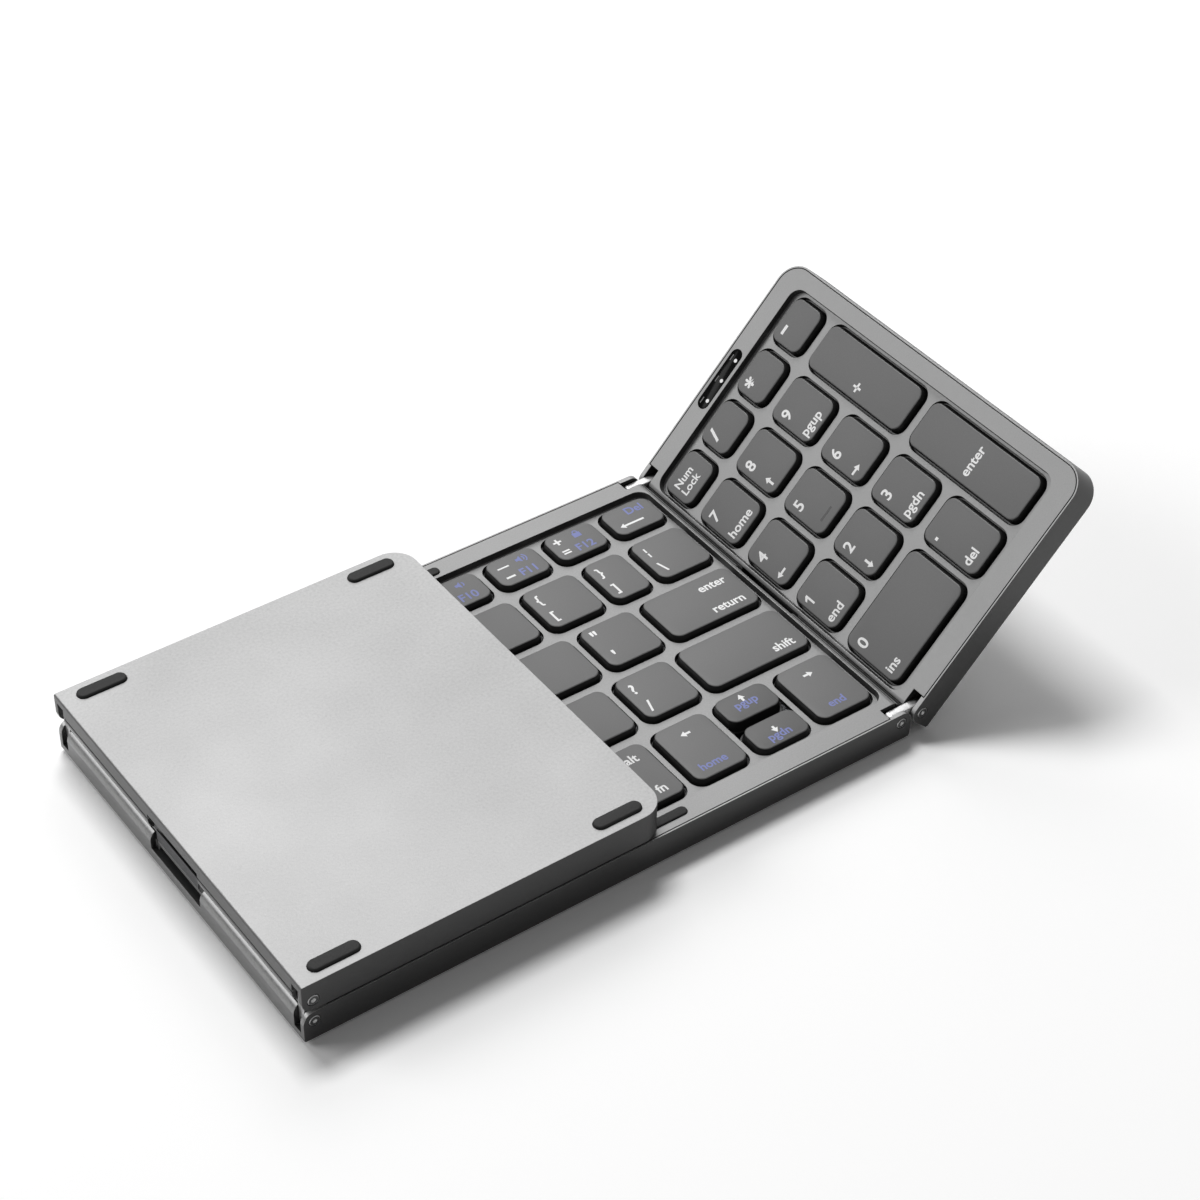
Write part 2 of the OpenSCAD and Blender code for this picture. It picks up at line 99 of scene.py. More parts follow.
def panel_matrix(pin, x_axis, up):
    """Matrix from a panel's own millimetres (x from its pin, y from its near end, z from its
    bottom) to the shared frame in metres."""
    m = np.eye(4)
    m[:3, 0] = np.array(x_axis) * MM
    m[:3, 1] = np.array([0, 1, 0]) * MM
    m[:3, 2] = np.array(up) * MM
    m[:3, 3] = np.array([pin[0], -DEPTH / 2, pin[2]]) - m[:3, 2] * PIN_UP
    return m


PANEL = {
    "middle_panel": panel_matrix(joint_place("left_link_hinge"), (1, 0, 0), (0, 0, 1)),
    "left_panel": panel_matrix(joint_place("left_panel_hinge"), (1, 0, 0), (0, 0, -1)),
    "right_panel": panel_matrix(
        joint_place("right_panel_hinge"),
        (math.cos(LIFT), 0, math.sin(LIFT)),
        (-math.sin(LIFT), 0, math.cos(LIFT)),
    ),
    "shared_frame": np.diag([MM, MM, MM, 1.0]),
}
# The left panel lies face down, so what reads from left to right on it runs against x
HAND = {"middle_panel": 1, "left_panel": -1, "right_panel": 1}

# ---------------------------------------------------------------- materials

BLOTCH_MM = 40.0  # width of the broad, barely visible blotches of every finish
BLOTCH_SHARE = 0.4  # of the blotch in the colour, beside the whole of the grain


def linear(hex_colour):
    """sRGB hex to linear RGBA."""
    c = np.array([int(hex_colour[i : i + 2], 16) / 255 for i in (1, 3, 5)])
    c = np.where(c <= 0.04045, c / 12.92, ((c + 0.055) / 1.055) ** 2.4)
    return (*c.tolist(), 1.0)


def add(tree, kind, settings=None, **inputs):
    """Adds a node with its settings; an input is a value, or the output socket that feeds it.
    An input's key is its name with underscores, or i_ and its number."""
    n = tree.nodes.new(kind)
    for key, value in (settings or {}).items():
        setattr(n, key, value)
    for key, value in inputs.items():
        socket = n.inputs[int(key[2:])] if key.startswith("i_") else n.inputs[key.replace("_", " ")]
        if isinstance(value, bpy.types.NodeSocket):
            tree.links.new(value, socket)
        else:
            socket.default_value = value
    return n


def surface(name, colour, shade, grain_mm, roughness, rough_swing, bump_mm=0.0, **fixed):
    """Material from two noises on object coordinates, which are in metres: a grain and a blotch.

    The colour runs from one hex value to the other with grain + share * blotch, the roughness
    swings about its value with the grain, and the relief is the grain times its height.
    """
    mat = bpy.data.materials.new(name)
    mat.use_nodes = True
    tree = mat.node_tree
    bsdf = tree.nodes["Principled BSDF"]
    place = add(tree, "ShaderNodeTexCoord").outputs["Object"]
    grain = add(
        tree, "ShaderNodeTexNoise",
        Vector=place, Scale=1 / (grain_mm * MM), Detail=3.0, Roughness=0.6,
    ).outputs["Fac"]
    blotch = add(
        tree, "ShaderNodeTexNoise", Vector=place, Scale=1 / (BLOTCH_MM * MM), Detail=2.0
    ).outputs["Fac"]
    both = add(
        tree, "ShaderNodeMath", {"operation": "MULTIPLY_ADD"},
        i_0=blotch, i_1=BLOTCH_SHARE, i_2=grain,
    )
    # A noise seldom leaves 0.3 to 0.7, and so their sum seldom leaves 0.4 to 1
    ramp = add(tree, "ShaderNodeMapRange", Value=both.outputs[0], From_Min=0.4, From_Max=1.0)
    mix = add(
        tree, "ShaderNodeMix", {"data_type": "RGBA"},
        Factor=ramp.outputs[0], i_6=linear(colour), i_7=linear(shade),
    )
    tree.links.new(mix.outputs[2], bsdf.inputs["Base Color"])
    rough = add(
        tree, "ShaderNodeMapRange", Value=grain, From_Min=0.3, From_Max=0.7,
        To_Min=roughness - rough_swing, To_Max=roughness + rough_swing,
    )
    tree.links.new(rough.outputs[0], bsdf.inputs["Roughness"])
    if bump_mm:
        bump = add(tree, "ShaderNodeBump", Height=grain, Strength=1.0, Distance=bump_mm * MM)
        tree.links.new(bump.outputs[0], bsdf.inputs["Normal"])
    for key, value in fixed.items():
        bsdf.inputs[key.replace("_", " ")].default_value = value
    return mat


# The real grains of these finishes are 0.02 to 0.1 mm wide. They are drawn 0.2 to 1.2 mm wide,
# as coarse as they need to be to show. The waves in the window's gloss and the wrinkles of the
# battery pouch are as wide as real ones.

# Anodised aluminium, bead blasted: an even satin grey with the fine sparkle of the blasted grain
ALLOY = surface(
    "bead_blasted_anodised_aluminium", "#8c8c8c", "#b4b4b4", 0.8, 0.50, 0.08, 0.022, Metallic=0.45
)
# Anodised aluminium, milled: the walls of the trays, drawn as a dark satin band; the dark is
# painted shade on the same aluminium as the backs
SHADED_WALL = surface(
    "aluminium_wall_painted_shade", "#3c3c3c", "#464646", 0.45, 0.40, 0.05, 0.006, Metallic=0.5
)
# Anodised aluminium, milled: satin flats of the hinge edges, drawn darker than the backs as painted
# shade, the cover panel's darker still as deeper painted shade
HINGE_FLAT_SHADE = surface(
    "hinge_edge_painted_shade", "#727272", "#808080", 0.45, 0.42, 0.05, 0.006, Metallic=0.45
)
COVER_HINGE_DEEP_SHADE = surface(
    "cover_edge_painted_deep_shade", "#565656", "#626262", 0.45, 0.42, 0.05, 0.006, Metallic=0.45
)
# Painted shade on the flats of the hinge edges, deepest on the cover panel's
HINGE_WALL = {"middle": HINGE_FLAT_SHADE, "left": COVER_HINGE_DEEP_SHADE, "right": HINGE_FLAT_SHADE}
# Anodised aluminium, turned: rounds shinier than the blasted faces, with a soft line of light
ROUND = surface(
    "turned_hinge_round", "#848484", "#9c9c9c", 0.8, 0.34, 0.05, 0.006, Metallic=0.6
)
# Anodised aluminium sheet, stamped: a satin frame smoother than the backs
FRAME = surface(
    "satin_anodised_frame", "#808080", "#909090", 0.40, 0.44, 0.05, 0.005, Metallic=0.45
)
# The same sheet where the stamping bends it down round the keys: leaning walls, drawn dark as
# painted shade
SHADED_FIELD_WALL = surface(
    "field_wall_painted_shade", "#484848", "#525252", 0.40, 0.44, 0.05, 0.005, Metallic=0.45
)
# Soft-touch lacquer on moulded ABS: matt grey tops with a barely visible orange peel
KEY_TOP_MAT = surface(
    "lacquered_abs_key_top", "#606060", "#6a6a6a", 0.35, 0.50, 0.06, 0.006
)
# The same lacquer on the two half-high keys, drawn darker as painted shade, for they sit low
# between their neighbours
SHADED_SMALL_TOP_MAT = surface(
    "small_key_top_painted_shade", "#525252", "#5a5a5a", 0.35, 0.50, 0.06, 0.006
)
# Moulded dark ABS: skirts with a slight shine, drawn near black; the black past the plastic's own
# dark grey is painted shade on the caps' sides
SHADED_KEY_SKIRT = surface("key_skirt_abs_painted_shade", "#191919", "#1e1e1e", 0.5, 0.38, 0.05, 0.004)
# Screen-printed ink: flat opaque white, and a greyish blue for the second functions
INK_WHITE = surface("white_screen_ink", "#f4f4f4", "#ececec", 0.2, 0.5, 0.05)
INK_BLUE = surface("blue_screen_ink", "#6c75b2", "#7780b8", 0.2, 0.5, 0.05)
# Moulded silicone rubber: dark and matt, a little dusty
RUBBER = surface("moulded_silicone_rubber", "#1c1c1c", "#262626", 0.4, 0.72, 0.08, 0.012)
# Nickel-plated zinc, polished: bright bars with soft reflections
NICKEL = surface("nickel_plated_bar", "#b4b4b4", "#c4c4c4", 1.2, 0.32, 0.03, Metallic=1.0)
# Steel on the beveled edges of the pins, drawn bright as a painted highlight ring round the dark
# heads
PIN_EDGE_HIGHLIGHT = surface(
    "pin_edge_painted_highlight", "#b0b0b0", "#c0c0c0", 0.25, 0.30, 0.06, 0.003, Metallic=1.0
)
# Blackened steel: screws and pin heads of a dull dark grey
SCREW_STEEL = surface(
    "blackened_screw_steel", "#4a4a4a", "#585858", 0.25, 0.38, 0.06, 0.004, Metallic=1.0
)
# Cold-rolled steel under clear film: a smooth grey plate with a cool shine
DECK_STEEL = surface(
    "rolled_steel_plate", "#9a9ca0", "#a6a8ab", 0.8, 0.32, 0.05, 0.003, Metallic=1.0
)
# Smoked acrylic, moulded and glossy: nearly black, with little light on it
WINDOW = surface(
    "smoked_gloss_acrylic", "#060606", "#090909", 2.0, 0.16, 0.02, Specular_IOR_Level=0.08
)
# Milky moulded polycarbonate: pale lamp dots, and the grey print under them
LAMP = surface("diffused_lamp_lens", "#e4e4e4", "#f2f2f2", 0.3, 0.3, 0.05)
MARK = surface("grey_window_print", "#5c5c5c", "#666666", 0.2, 0.5, 0.05)
# Solder mask over glass fibre: a glossy green board
BOARD = surface("green_solder_mask", "#0f5a2c", "#146a35", 0.9, 0.35, 0.06, 0.004)
# Aluminium laminate foil: a silvery, faintly wrinkled pouch
POUCH = surface(
    "foil_battery_pouch", "#b9bcc2", "#c8cad0", 2.5, 0.35, 0.08, 0.02, Metallic=0.8
)
# Polyimide film under a black cover film: a dark satin strip
FLEX = surface("polyimide_flat_cable", "#2a2a2c", "#333336", 0.5, 0.45, 0.05, 0.003)
# Drawn and tinned steel: a bright socket
SOCKET = surface(
    "drawn_steel_socket", "#c4c6c9", "#d0d2d4", 0.5, 0.28, 0.05, 0.003, Metallic=1.0
)

# ---------------------------------------------------------------- meshes

CORNER_STEPS = 7
RING = 4 * (CORNER_STEPS + 1)  # points round a rounded rectangle
MERGE = 1e-6  # vertices nearer than this are one, m
FLAT_DEG = 0.4  # faces that turn from each other by less than this are one
SHARP_DEG = 35  # edges sharper than this are rounded off


def to_frame(points, panel):
    """Panel millimetres to the shared frame in metres."""
    m = PANEL[panel]
    return points @ m[:3, :3].T + m[:3, 3]


def to_panel(points, panel):
    """Metres of the shared frame to panel millimetres."""
    m = np.linalg.inv(PANEL[panel])
    return points @ m[:3, :3].T + m[:3, 3]


def solid_boxes(node, panel):
    """Low and high corner of each separate solid of a node, in panel millimetres.

    Equal vertices share a number, which is their first label. The labels of a triangle sink to
    its lowest one until none changes, and the vertices that share a label are one solid.
    """
    data = frame["nodes"][node].data
    points = np.zeros(len(data.vertices) * 3)
    data.vertices.foreach_get("co", points)
    points += 0.0  # no negative zeros, so that equal vertices have equal numbers
    corners = np.zeros(len(data.loops), dtype=np.int64)
    data.loops.foreach_get("vertex_index", corners)
    points, number = np.unique(points.reshape(-1, 3), axis=0, return_inverse=True)
    corners = number.reshape(-1)[corners]
    label = np.arange(len(points))
    settled = False
    while not settled:
        lowest = label[corners].reshape(-1, 3).min(1)
        lower = label.copy()
        np.minimum.at(lower, corners, np.repeat(lowest, 3))
        lower = lower[lower]
        settled = np.array_equal(lower, label)
        label = lower
    points = to_panel(points, panel)
    solids = [points[label == k] for k in np.unique(label)]
    return [(solid.min(0), solid.max(0)) for solid in solids]


def rounded_loop(x0, y0, x1, y1, r):
    """Rounded rectangle, anticlockwise: corner k is the quarter circle centre + r (cos a, sin a)
    for a from k to k + 1 right angles."""
    turn = np.arange(4)[:, None] * math.pi / 2
    a = np.linspace(0, math.pi / 2, CORNER_STEPS + 1)[None, :] + turn
    cx = np.array([x1 - r, x0 + r, x0 + r, x1 - r])[:, None]
    cy = np.array([y1 - r, y1 - r, y0 + r, y0 + r])[:, None]
    return np.stack([cx + r * np.cos(a), cy + r * np.sin(a)], -1).reshape(-1, 2)


def swept(x0, y0, x1, y1, r, profile):
    """A profile of (offset, height) carried round a rounded rectangle: one ring per profile point,
    with the rectangle grown by the offset. Both ends are closed by flat faces.
    Returns points, faces and the ring that each face starts at."""
    rings = []
    for o, z in profile:
        loop = rounded_loop(x0 - o, y0 - o, x1 + o, y1 + o, max(r + o, 0.05))
        rings.append(np.column_stack([loop, np.full(RING, z)]))
    last = len(rings) - 1
    i = np.arange(RING)
    j = (i + 1) % RING
    faces = []
    for k in range(last):
        here, there = k * RING, (k + 1) * RING
        faces += np.stack([here + i, there + i, there + j, here + j], 1).tolist()
    faces += [i.tolist(), (last * RING + i[::-1]).tolist()]
    start = np.append(np.repeat(np.arange(last), RING), [0, last])
    return np.concatenate(rings), faces, start


def quarter_round(radius, steps):
    """Profile offsets and drops of a quarter circle, from a flat top over to a straight side:
    offset = radius (sin t - 1), drop = radius (1 - cos t)."""
    t = np.linspace(0, math.pi / 2, steps + 1)
    return [(-radius + radius * math.sin(a), radius * (1 - math.cos(a))) for a in t]


def joined(parts):
    """One (points, faces) pair from several."""
    faces = []
    base = 0
    for p, f in parts:
        faces += [[v + base for v in face] for face in f]
        base += len(p)
    return np.concatenate([p for p, _ in parts]), faces


def dress(obj, node):
    """Puts a finished piece on the body of the solid that it stands for, in its place."""
    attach(obj, frame["nodes"][node]["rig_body"])
    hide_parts(node)


def put(name, mesh, materials):
    """Object from a finished mesh and its materials, in the scene."""
    for m in materials:
        mesh.materials.append(m)
    obj = bpy.data.objects.new(name, mesh)
    bpy.context.scene.collection.objects.link(obj)
    return obj


def piece(node, name, parts, materials, smooth_deg):
    """One object from (points in metres, faces, material index per face) parts, normals outward.
    Edges sharper than smooth_deg stay sharp."""
    points, faces = joined([(p, f) for p, f, _ in parts])
    mesh = bpy.data.meshes.new(name)
    mesh.from_pydata(points.tolist(), [], faces)
    indices = np.concatenate([s for _, _, s in parts]).astype(np.int32)
    mesh.polygons.foreach_set("material_index", indices)
    bm = bmesh.new()
    bm.from_mesh(mesh)
    bmesh.ops.recalc_face_normals(bm, faces=bm.faces)
    bm.to_mesh(mesh)
    bm.free()
    mesh.shade_smooth()
    mesh.set_sharp_from_angle(angle=math.radians(smooth_deg))
    dress(put(name, mesh, materials), node)


def beveled(node, name, materials, width_mm, zone=None):
    """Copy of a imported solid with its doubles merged, its flat faces joined and its sharp edges
    rounded. zone gives the material index of each face from its centre and normal."""
    bm = bmesh.new()
    bm.from_mesh(frame["nodes"][node].data)
    bmesh.ops.remove_doubles(bm, verts=bm.verts, dist=MERGE)
    bmesh.ops.dissolve_limit(bm, angle_limit=math.radians(FLAT_DEG), verts=bm.verts, edges=bm.edges)
    mesh = bpy.data.meshes.new(name)
    bm.to_mesh(mesh)
    bm.free()
    mesh.materials.clear()
    mesh.shade_smooth()
    obj = put(name + "_raw", mesh, [])
    bevel = obj.modifiers.new("edges", "BEVEL")
    bevel.width = width_mm * MM
    bevel.segments = 2
    bevel.limit_method = "ANGLE"
    bevel.angle_limit = math.radians(SHARP_DEG)
    bevel.use_clamp_overlap = False
    bevel.loop_slide = False
    weigh = obj.modifiers.new("flat_faces", "WEIGHTED_NORMAL")
    weigh.mode = "FACE_AREA"
    weigh.weight = 50
    bpy.context.view_layer.update()
    graph = bpy.context.evaluated_depsgraph_get()
    done = bpy.data.meshes.new_from_object(
        obj.evaluated_get(graph), preserve_all_data_layers=True, depsgraph=graph
    )
    bpy.data.objects.remove(obj)
    done.name = name
    if zone is not None:
        centre = np.zeros(len(done.polygons) * 3)
        normal = np.zeros(len(done.polygons) * 3)
        done.polygons.foreach_get("center", centre)
        done.polygons.foreach_get("normal", normal)
        indices = zone(centre.reshape(-1, 3), normal.reshape(-1, 3)).astype(np.int32)
        done.polygons.foreach_set("material_index", indices)
    dress(put(name, done, materials), node)


# ---------------------------------------------------------------- printed marks
# Every mark is (points in millimetres, faces), flat and 0.02 mm thick, in the xy plane

PRINT_T = 0.02
ARROW_HEAD = 1.5
ARROW_SHAFT = 0.7
MARK_STROKE = 0.4  # of the rings in the small marks


def lettering(text, size, align):
    """Printed lettering: the outlines of the built-in typeface, thickened by 2.1 percent."""
    curve = bpy.data.curves.new("legend", "FONT")
    curve.body = text
    curve.size = size
    curve.align_x = align
    curve.extrude = PRINT_T / 2
    curve.resolution_u = 4
    curve.offset = 0.021 * size
    obj = bpy.data.objects.new("legend", curve)
    bpy.context.scene.collection.objects.link(obj)
    bpy.context.view_layer.update()
    graph = bpy.context.evaluated_depsgraph_get()
    mesh = bpy.data.meshes.new_from_object(obj.evaluated_get(graph))
    points = np.zeros(len(mesh.vertices) * 3)
    mesh.vertices.foreach_get("co", points)
    faces = [list(p.vertices) for p in mesh.polygons]
    bpy.data.objects.remove(obj)
    bpy.data.curves.remove(curve)
    bpy.data.meshes.remove(mesh)
    return points.reshape(-1, 3), faces


def prism(outline):
    """Closed flat shape from an anticlockwise outline."""
    n = len(outline)
    low = np.column_stack([outline, np.full(n, -PRINT_T / 2)])
    high = np.column_stack([outline, np.full(n, PRINT_T / 2)])
    faces = [list(range(n, 2 * n)), list(range(n))[::-1]]
    faces += [[i, (i + 1) % n, n + (i + 1) % n, n + i] for i in range(n)]
    return np.concatenate([low, high]), faces


def bar(wide, tall):
    """A rectangle about the origin."""
    x, y = wide / 2, tall / 2
    return prism(np.array([(-x, -y), (x, -y), (x, y), (-x, y)]))


def slash(wide, tall, stroke):
    """A stroke from low left to high right."""
    return prism(np.array([(0, 0), (stroke, 0), (wide, tall), (wide - stroke, tall)]))


def arrow(length, turn):
    """An arrow from the origin's left to its right, turned by quarter turns about its middle."""
    end = length / 2
    neck = end - ARROW_HEAD
    shaft = ARROW_SHAFT / 2
    barb = ARROW_HEAD * 0.7
    outline = np.array([
        (-end, -shaft), (neck, -shaft), (neck, -barb), (end, 0),
        (neck, barb), (neck, shaft), (-end, shaft),
    ])
    c, s = math.cos(turn * math.pi / 2), math.sin(turn * math.pi / 2)
    return prism(outline @ np.array([[c, s], [-s, c]]))


def ring_part(x, y, wide, tall, thick, first_deg, last_deg):
    """Part of a flat elliptical ring about (x, y), from one angle to another, anticlockwise:
    the outline is (x, y) + (wide cos a, tall sin a) out, and back with both less the thickness."""
    a = np.radians(np.linspace(first_deg, last_deg, 9))
    outer = np.column_stack([x + wide * np.cos(a), y + tall * np.sin(a)])
    inner = np.column_stack([x + (wide - thick) * np.cos(a), y + (tall - thick) * np.sin(a)])
    return prism(np.concatenate([outer, inner[::-1]]))


def speaker(waves):
    """A loudspeaker mark: a box with a cone, and one arc for each wave."""
    cone = [(-2.0, -0.5), (-1.2, -0.5), (-0.3, -1.3), (-0.3, 1.3), (-1.2, 0.5), (-2.0, 0.5)]
    arcs = [ring_part(-0.3, 0, r, r, MARK_STROKE, -55, 55) for r in (1.1, 1.9)[:waves]]
    return joined([prism(np.array(cone))] + arcs)


def padlock():
    """A padlock mark: a body under a shackle of half a ring."""
    return joined([bar(2.4, 1.8), ring_part(0, 0.9, 0.9, 1.1, MARK_STROKE, 0, 180)])


def one(tall):
    """The figure 1: an upright with a short flag to its left."""
    half = 0.3
    top = tall / 2
    flag = [(-1.2, top - 0.9), (-1.2, top - 1.6), (-half, top - 1)]
    return prism(np.array([(-half, -top), (half, -top), (half, top), (-half, top)] + flag))


MARKS = {
    "arrow": arrow, "bar": bar, "slash": slash, "speaker": speaker, "padlock": padlock, "one": one,
}


def printed_mark(what):
    """A mark from (its name, its sizes), or lettering from (text, size, alignment)."""
    return MARKS[what[0]](*what[1:]) if what[0] in MARKS else lettering(*what)


# ---------------------------------------------------------------- legends
# The legends of a key are a list of (what, x, y, index): what as for printed_mark, x from the
# cap's left edge and y from its near edge, or from its far edge where it is negative, in
# millimetres, and the index of its material on the key

# Slot 1 is the skirt, whose near-black is partly painted shade
SKIRT_SLOT, W, B = 1, 2, 3  # material indices of the skirt's plastic, the white and the blue print
BIG, SMALL, WORD = 5.0, 3.9, 4.0  # sizes of the lettering
L, C, R = "LEFT", "CENTER", "RIGHT"


def digit(text):
    """The figure at the far left of a numeric key."""
    return ((text, BIG, L), 1.7, -6.8, W)


def pad_number(figure, word):
    """Numeric key with a word below its figure."""
    return [digit(figure), ((word, WORD, L), 1.5, 1.9, W)]


def pad_arrow(figure, turn):
    """Numeric key with an arrow below its figure."""
    return [digit(figure), (("arrow", 3.4, turn), 3.0, 3.4, W)]


def letter(c):
    """Key with one letter."""
    return [((c, BIG, L), 1.9, -5.6, W)]


def number(shifted, figure, function, x=6.8):
    """Number row: the shifted sign above the figure, the function in blue."""
    return [
        ((shifted, SMALL, L), 2.0, 6.4, W), ((figure, SMALL, L), 2.0, 1.7, W),
        (("F" + function, WORD, L), x, 1.7, B),
    ]


def word_key(text):
    """Key of the left edge with its word at the near left."""
    return [((text, WORD, L), 1.8, 2.2, W)]


def two_signs(upper, lower, x=2.2):
    """Key with its shifted sign above the plain one."""
    return [((upper, 4.6, L), x, 10.2, W), ((lower, 4.6, L), x, 3.0, W)]


# Keys that are nodes of their own
LEGENDS = {
    "pad_num_lock": [(("Num", 3.5, L), 2.0, -5.2, W), (("Lock", 3.5, L), 2.0, -8.5, W)],
    "pad_divide": [(("slash", 2.4, 4.4, 0.9), 2.0, -6.4, W)],
    "pad_multiply": [(("*", 7.0, L), 2.1, -7.2, W)],
    "pad_subtract": [(("bar", 2.9, 0.95), 3.8, -3.0, W)],
    "pad_7": pad_number("7", "home"),
    "pad_8": pad_arrow("8", 1),
    "pad_9": pad_number("9", "pgup"),
    "pad_4": pad_arrow("4", 2),
    "pad_5": [digit("5"), (("bar", 4.8, 0.7), 5.9, 2.9, SKIRT_SLOT)],
    "pad_6": pad_arrow("6", 0),
    "pad_1": [(("one", 3.6), 2.6, -4.9, W), (("end", WORD, L), 1.5, 1.9, W)],
    "pad_2": pad_arrow("2", 3),
    "pad_3": pad_number("3", "pgdn"),
    "pad_0": [digit("0"), (("ins", WORD, L), 1.5, 2.8, W)],
    "pad_decimal": [(("bar", 0.9, 0.9), 2.0, -4.6, W), (("del", WORD, L), 1.5, 3.0, W)],
    "pad_add": [(("bar", 2.8, 0.65), 3.3, 18.8, W), (("bar", 0.65, 2.8), 3.3, 18.8, W)],
    "pad_enter": [(("enter", WORD, L), 2.1, 19.7, W)],
    "key_minus": [
        (("bar", 3.6, 0.55), 4.2, 7.4, W), (("bar", 2.8, 0.7), 3.9, 3.1, W),
        (("speaker", 2), 10.6, 8.0, B), (("F11", WORD, L), 6.8, 1.7, B),
    ],
    "key_equals": [
        (("+", BIG, L), 1.7, 6.2, W), (("=", 4.6, L), 1.8, 1.6, W),
        (("padlock",), 9.6, 7.8, B), (("F12", WORD, L), 6.2, 1.7, B),
    ],
    "key_backspace": [(("Del", WORD, R), 12.7, 6.9, B), (("arrow", 7.8, 2), 6.0, 3.4, W)],
    "key_bracket_left": [(("{", 4.6, L), 2.2, 10.5, W), (("[", 4.6, L), 2.2, 3.2, W)],
    "key_bracket_right": [(("}", 4.6, L), 2.0, 10.5, W), (("]", 4.6, L), 2.0, 3.2, W)],
    "key_backslash": [
        (("bar", 0.5, 1.7), 2.8, 12.6, W), (("bar", 0.5, 1.7), 2.8, 10.4, W),
        (("\\", 5.4, L), 2.2, 2.8, W),
    ],
    "key_quote": [(('"', 6.0, L), 2.2, 10.4, W), (("'", 6.0, L), 2.9, 1.6, W)],
    "key_enter": [(("enter", WORD, R), 25.1, 11.1, W), (("return", WORD, R), 25.1, 2.4, W)],
    "key_slash": [(("?", 5.2, L), 2.2, 9.8, W), (("/", 5.6, L), 2.4, 2.4, W)],
    "key_shift": [(("shift", WORD, R), 28.9, 2.3, W)],
    "key_arrow_left": [(("arrow", 3.0, 2), 7.6, 15.9, W), (("home", 3.6, C), 7.2, 2.7, B)],
    "key_arrow_up": [(("arrow", 2.6, 1), 7.8, 7.0, W), (("pgup", 3.7, C), 7.8, 3.9, B)],
    "key_arrow_down": [(("arrow", 2.4, 3), 7.7, 5.0, W), (("pgdn", 3.7, C), 7.7, 1.9, B)],
    "key_arrow_right": [(("arrow", 3.0, 0), 7.9, 15.9, W), (("end", 3.6, C), 7.7, 2.8, B)],
}
# Grouped keys, row by row from the far one, each row read from left to right
MIDDLE_GROUP = [
    number("%", "5", "5"), number("^", "6", "6"), number("&", "7", "7"), number("*", "8", "8"),
    number("(", "9", "9"), number(")", "0", "10", 6.4) + [(("speaker", 1), 10.3, 8.0, B)],
    *map(letter, "TYUIOP"),
    *map(letter, "GHJKL"), two_signs(":", ";", 0.9),
    *map(letter, "VBNM"), two_signs("<", ","), two_signs(">", "."),
    [], [(("alt", WORD, R), 12.1, 14.8, W), (("fn", WORD, R), 12.1, 2.4, W)],
]
LEFT_GROUP = [
    word_key("esc"), number("!", "1", "1"), number("@", "2", "2"), number("#", "3", "3"),
    number("$", "4", "4"),
    word_key("tab"), *map(letter, "QWER"),
    word_key("caps"), *map(letter, "ASDF"),
    word_key("shift"), *map(letter, "ZXC"),
    word_key("ctrl"), word_key("fn"), word_key("alt"), [],
]

# ---------------------------------------------------------------- key caps

FLANGE = (1.4, 1.0)  # how far a cap's flange stands out past its top, along x and y, mm
CAP_R = 2.7  # corner radius of a cap's top, mm
CAP_ROUND = 0.45  # roll-over along its edge, mm
ROLL_STEPS = 5
HALF_ROW = 7  # two caps whose middles are this near along y are in one row, mm
PRINT_UP = 0.006  # middle of the print over the cap's top, mm
SMALL_KEYS = ("key_arrow_up", "key_arrow_down")


def panel_of(node):
    """The panel that a node of keys is on."""
    if node.startswith("left"):
        return "left_panel"
    return "right_panel" if node.startswith("pad_") else "middle_panel"


def cap_boxes(node, panel):
    """Top rectangles of a node's caps, which are their solids less the flange, row by row from
    the far one, each row from left to right."""
    boxes = [
        (low[0] + FLANGE[0], low[1] + FLANGE[1], high[0] - FLANGE[0], high[1] - FLANGE[1])
        for low, high in solid_boxes(node, panel)
    ]
    return sorted(boxes, key=lambda b: (-round((b[1] + b[3]) / (2 * HALF_ROW)), HAND[panel] * b[0]))


def cap(box, panel):
    """A key cap: flat top, a quarter-round roll-over, a flared skirt, and a hollow foot. The
    skirt's profile is (offset from the top's edge, height inside the panel)."""
    roll = [(o, KEY_TOP - drop) for o, drop in quarter_round(CAP_ROUND, ROLL_STEPS)]
    skirt = [(0.22, 7.0), (0.5, 5.6), (0.95, 5.58), (0.95, 5.22), (-1.2, 5.2), (-1.2, 7.6)]
    points, faces, start = swept(*box, CAP_R, roll + skirt)
    # The lacquer ends two faces above the foot of the roll-over; below, the skirt is drawn near
    # black as painted shade
    slots = np.where(start >= ROLL_STEPS - 2, SKIRT_SLOT, 0)
    slots[-2:] = 0, SKIRT_SLOT
    return to_frame(points, panel), faces, slots


def printed(box, panel, legends):
    """Legend meshes of one key."""
    hand = HAND[panel]
    edge = box[2] if hand < 0 else box[0]
    parts = []
    for what, x, y, index in legends:
        points, faces = printed_mark(what)
        near_or_far = box[1] if y >= 0 else box[3]
        place = np.array((edge + hand * x, near_or_far + y, KEY_TOP + PRINT_UP))
        points = to_frame(points * (hand, 1, 1) + place, panel)
        parts.append((points, faces, [index] * len(faces)))
    return parts


def keys(node, legends):
    """The caps of a node with their legends."""
    panel = panel_of(node)
    parts = []
    for box, entries in zip(cap_boxes(node, panel), legends, strict=True):
        parts.append(cap(box, panel))
        parts += printed(box, panel, entries)
    # The half-high keys get a darker top: painted shade
    top = SHADED_SMALL_TOP_MAT if node in SMALL_KEYS else KEY_TOP_MAT
    piece(node, node + "_cap", parts, [top, SHADED_KEY_SKIRT, INK_WHITE, INK_BLUE], smooth_deg=50)


for node in frame["nodes"]:
    if node in LEGENDS:
        keys(node, [LEGENDS[node]])
    elif node == "middle_far_keys":
        keys(node, MIDDLE_GROUP)
    elif node == "left_keys":
        keys(node, LEFT_GROUP)

# ---------------------------------------------------------------- shells, frames and hardware


